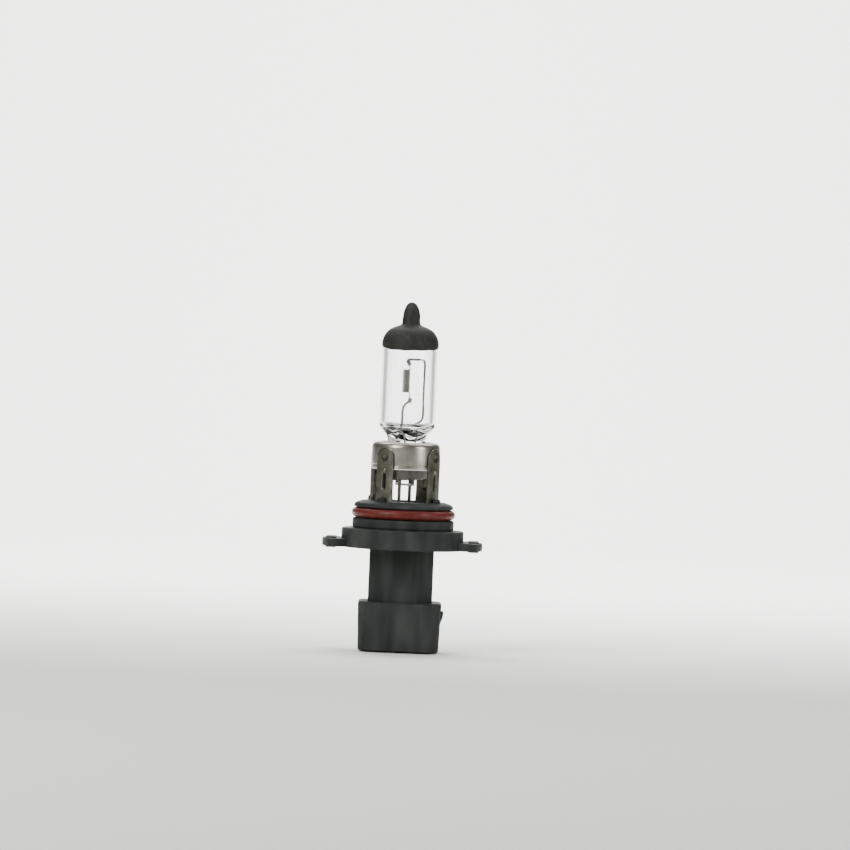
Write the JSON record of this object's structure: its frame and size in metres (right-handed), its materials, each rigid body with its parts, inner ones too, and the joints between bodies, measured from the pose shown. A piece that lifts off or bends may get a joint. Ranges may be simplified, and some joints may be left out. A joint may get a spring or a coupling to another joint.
{
  "type": "halogen headlight bulb",
  "caption": "Straight halogen headlight bulb: clear quartz capsule with blacked-out dome in a steel retainer, on a black plastic bayonet base with O-ring seal and blade connector socket.",
  "frame": {"origin": "on the lamp axis in the reference plane, the top face of the flange", "axes": "+Z along the lamp axis towards the glass tip, -Y to the front as pictured, +X to the viewer's right"},
  "size_m": [0.0344, 0.0303, 0.0748],
  "materials": {
    "quartz": "clear, smooth, fire polished",
    "top_coating": "matte black baked coating, faintly brushed",
    "tungsten": "dark grey drawn wire",
    "molybdenum": "grey drawn wire and foil",
    "nickel": "satin plated wire",
    "stainless": "bright pressed stainless sheet",
    "base_plastic": "black moulded plastic, fine satin texture",
    "seal_rubber": "dark red silicone, satin",
    "contact_brass": "tin plated, satin",
    "potting": "dark cast compound"
  },
  "bodies": {
    "root": {"glass_capsule": "quartz", "blackout_coating": "top_coating", "filament": "tungsten", "long_support_wire": "molybdenum", "short_support_wire": "molybdenum", "seal_foil_front": "molybdenum", "seal_foil_rear": "molybdenum", "outer_lead_front": "nickel", "outer_lead_rear": "nickel", "pinch_clip": "stainless", "capsule_sleeve": "stainless", "leg_retainer": "stainless", "base_body": "base_plastic", "o_ring": "seal_rubber", "terminal_left": "contact_brass", "terminal_right": "contact_brass", "terminal_potting": "potting"}
  },
  "joints": []
}
